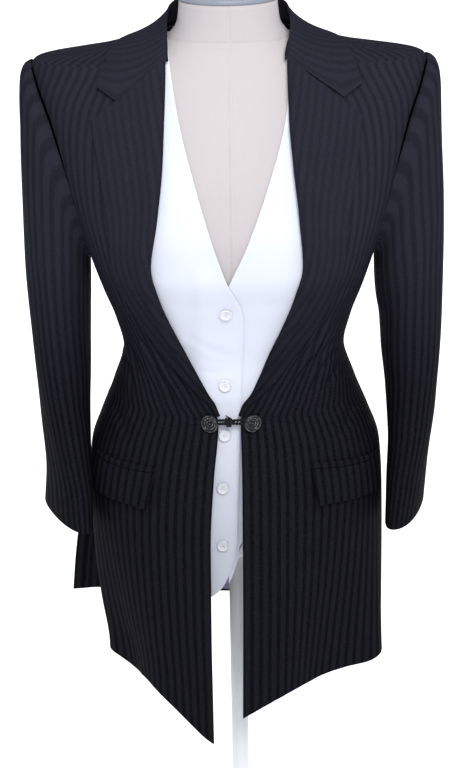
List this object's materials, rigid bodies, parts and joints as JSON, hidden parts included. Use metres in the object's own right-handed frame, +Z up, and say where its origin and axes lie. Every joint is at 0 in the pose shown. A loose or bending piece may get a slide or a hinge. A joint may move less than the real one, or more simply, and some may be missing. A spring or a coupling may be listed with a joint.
{
  "type": "pinstripe suit coat and waistcoat on a dress form",
  "caption": "Long fitted pinstripe suit coat, linked at the waist over a light waistcoat, worn on a limbless dress form with a plain pole and a round base.",
  "frame": {"origin": "on the floor, at the centre of the underside of the round base", "axes": "+Z up along the pole, -Y out of the front of the coat, +X to the wearer's left"},
  "size_m": [0.5021, 0.34, 1.452],
  "materials": {
    "coat_cloth": "worsted suiting with tonal stripes",
    "lining_satin": "satin",
    "waistcoat_cloth": "smooth matt cloth",
    "black_button": "polished",
    "white_button": "polished",
    "link_cord": "glossy corded thread",
    "form_cloth": "plain cotton cover",
    "form_cap": "satin",
    "stand_paint": "satin"
  },
  "bodies": {
    "root": {"form_body": "form_cloth", "form_neck_cap": "form_cap", "stand_socket": "stand_paint", "stand_pole": "stand_paint", "stand_base": "stand_paint", "waistcoat_front_right": "waistcoat_cloth", "waistcoat_front_left": "waistcoat_cloth", "waistcoat_back": "waistcoat_cloth", "waistcoat_button_1": "white_button", "waistcoat_button_2": "white_button", "waistcoat_button_3": "white_button", "waistcoat_button_4": "white_button", "waistcoat_button_5": "white_button", "coat_front_right": "coat_cloth", "coat_back_right": "coat_cloth", "coat_lapel_right": "coat_cloth", "pocket_jet_right": "coat_cloth", "pocket_flap_right": "coat_cloth", "sleeve_top_right": "coat_cloth", "sleeve_under_right": "coat_cloth", "coat_front_left": "coat_cloth", "coat_back_left": "coat_cloth", "coat_lapel_left": "coat_cloth", "pocket_jet_left": "coat_cloth", "pocket_flap_left": "coat_cloth", "sleeve_top_left": "coat_cloth", "sleeve_under_left": "coat_cloth", "coat_collar": "coat_cloth", "coat_back_lining": "lining_satin", "cuff_button_right_1": "black_button", "cuff_button_right_2": "black_button", "cuff_button_right_3": "black_button", "link_button_right": "black_button", "link_loop_right": "link_cord", "cuff_button_left_1": "black_button", "cuff_button_left_2": "black_button", "cuff_button_left_3": "black_button", "link_button_left": "black_button", "link_loop_left": "link_cord"}
  },
  "joints": []
}
